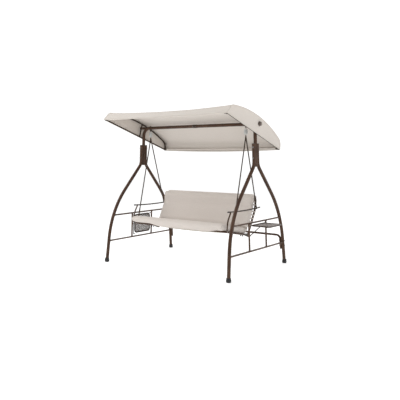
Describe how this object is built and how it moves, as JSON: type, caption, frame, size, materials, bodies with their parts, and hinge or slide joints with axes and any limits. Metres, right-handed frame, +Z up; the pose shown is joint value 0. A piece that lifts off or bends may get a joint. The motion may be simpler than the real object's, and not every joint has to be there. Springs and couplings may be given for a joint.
{
  "type": "canopy swing bench",
  "caption": "Garden swing bench hung on springs from a tubular steel stand, with a tilting cloth canopy, reclining cushioned back and folding side tables.",
  "frame": {"origin": "middle of the bounding box at rest, on the ground under the bench", "axes": "+X across the bench to the right as seen from the front, +Y to the back, +Z up"},
  "size_m": [1.984, 1.2546, 1.7728],
  "materials": {
    "bronze_tube": "bronze-brown powder coat, satin",
    "dark_tube": "dark bronze powder coat, satin",
    "black_plastic": "moulded black plastic",
    "spring_zinc": "bright zinc plate",
    "canopy_cloth": "beige woven polyester canvas",
    "cushion_cloth": "beige woven polyester, padded",
    "sling_cloth": "woven support cloth",
    "table_mesh": "powder-coated expanded metal",
    "knob_plastic": "moulded brown plastic"
  },
  "bodies": {
    "stand": {"leg_front_left": "bronze_tube", "leg_plug_front_left": "black_plastic", "leg_rear_left": "bronze_tube", "leg_plug_rear_left": "black_plastic", "upper_rail_left": "bronze_tube", "lower_rail_left": "bronze_tube", "upright_front_left": "bronze_tube", "upright_rear_left": "bronze_tube", "frame_bolt_lower_left": "dark_tube", "frame_bolt_upper_left": "dark_tube", "foot_front_left": "black_plastic", "foot_rear_left": "black_plastic", "leg_front_right": "bronze_tube", "leg_plug_front_right": "black_plastic", "leg_rear_right": "bronze_tube", "leg_plug_rear_right": "black_plastic", "upper_rail_right": "bronze_tube", "lower_rail_right": "bronze_tube", "upright_front_right": "bronze_tube", "upright_rear_right": "bronze_tube", "frame_bolt_lower_right": "dark_tube", "frame_bolt_upper_right": "dark_tube", "foot_front_right": "black_plastic", "foot_rear_right": "black_plastic", "corner_tube_left": "bronze_tube", "canopy_stub_left": "bronze_tube", "corner_tube_right": "bronze_tube", "canopy_stub_right": "bronze_tube", "beam_sleeve": "dark_tube", "rear_stretcher": "bronze_tube"},
    "canopy": {"canopy_side_frame_left": "dark_tube", "canopy_side_frame_right": "dark_tube", "canopy_front_bar": "dark_tube", "canopy_rear_bar": "dark_tube", "canopy_cover": "canopy_cloth"},
    "knob_left": {"canopy_knob_left": "knob_plastic"},
    "knob_right": {"canopy_knob_right": "knob_plastic"},
    "swing_gear": {"beam_hook_left": "dark_tube", "spring_left": "spring_zinc", "beam_hook_right": "dark_tube", "spring_right": "spring_zinc"},
    "seat": {"hanger_left": "dark_tube", "recline_bracket_left": "dark_tube", "armrest_left": "dark_tube", "arm_support_left": "bronze_tube", "hanger_right": "dark_tube", "recline_bracket_right": "dark_tube", "armrest_right": "dark_tube", "arm_support_right": "bronze_tube", "seat_frame": "bronze_tube", "seat_sling": "sling_cloth", "seat_cushion": "cushion_cloth"},
    "back": {"back_frame": "bronze_tube", "back_cushion": "cushion_cloth"},
    "table_left": {"table_frame_left": "dark_tube", "table_panel_left": "table_mesh"},
    "strut_left": {"table_strut_left": "dark_tube"},
    "table_right": {"table_frame_right": "dark_tube", "table_panel_right": "table_mesh"},
    "strut_right": {"table_strut_right": "dark_tube"}
  },
  "joints": [
    {"name": "canopy_tilt", "type": "hinge", "parent": "stand", "child": "canopy", "pos_m": [-0.09149, 0.00027, 1.61], "axis": [1, 0, 0], "range_deg": [-12, 22]},
    {"name": "knob_left_turn", "type": "hinge", "parent": "canopy", "child": "knob_left", "pos_m": [-0.95399, 0.00027, 1.61], "axis": [1, 0, 0], "range_deg": [-180, 180]},
    {"name": "knob_right_turn", "type": "hinge", "parent": "canopy", "child": "knob_right", "pos_m": [0.77101, 0.00027, 1.61], "axis": [1, 0, 0], "range_deg": [-180, 180]},
    {"name": "swing", "type": "hinge", "parent": "stand", "child": "swing_gear", "pos_m": [-0.09149, 0.00027, 1.61], "axis": [1, 0, 0], "range_deg": [-18, 18]},
    {"name": "seat_bounce", "type": "slide", "parent": "swing_gear", "child": "seat", "axis": [0, 0, 1], "range_m": [-0.04, 0.01], "stiffness_N_per_m": 30000, "springref_m": 0.0104, "deforming": ["spring_left", "spring_right"]},
    {"name": "recline", "type": "hinge", "parent": "seat", "child": "back", "pos_m": [-0.09149, 0.11827, 0.376], "axis": [-1, 0, 0], "range_deg": [0, 60]},
    {"name": "table_left_fold", "type": "hinge", "parent": "stand", "child": "table_left", "pos_m": [-0.94351, 0.00027, 0.52454], "axis": [0, 1, 0], "range_deg": [0, 90]},
    {"name": "strut_left_fold", "type": "hinge", "parent": "stand", "child": "strut_left", "pos_m": [-0.9479, 0.00027, 0.41963], "axis": [0, 1, 0], "range_deg": [0, 132.77]},
    {"name": "table_right_fold", "type": "hinge", "parent": "stand", "child": "table_right", "pos_m": [0.76052, 0.00027, 0.52454], "axis": [0, 1, 0], "range_deg": [0, 90]},
    {"name": "strut_right_fold", "type": "hinge", "parent": "stand", "child": "strut_right", "pos_m": [0.76492, 0.00027, 0.41963], "axis": [0, 1, 0], "range_deg": [0, 132.77]}
  ],
  "couplings": [
    {"joint": "strut_left_fold", "follows": "table_left_fold", "ratio": 1.4747},
    {"joint": "strut_right_fold", "follows": "table_right_fold", "ratio": 1.4747}
  ]
}
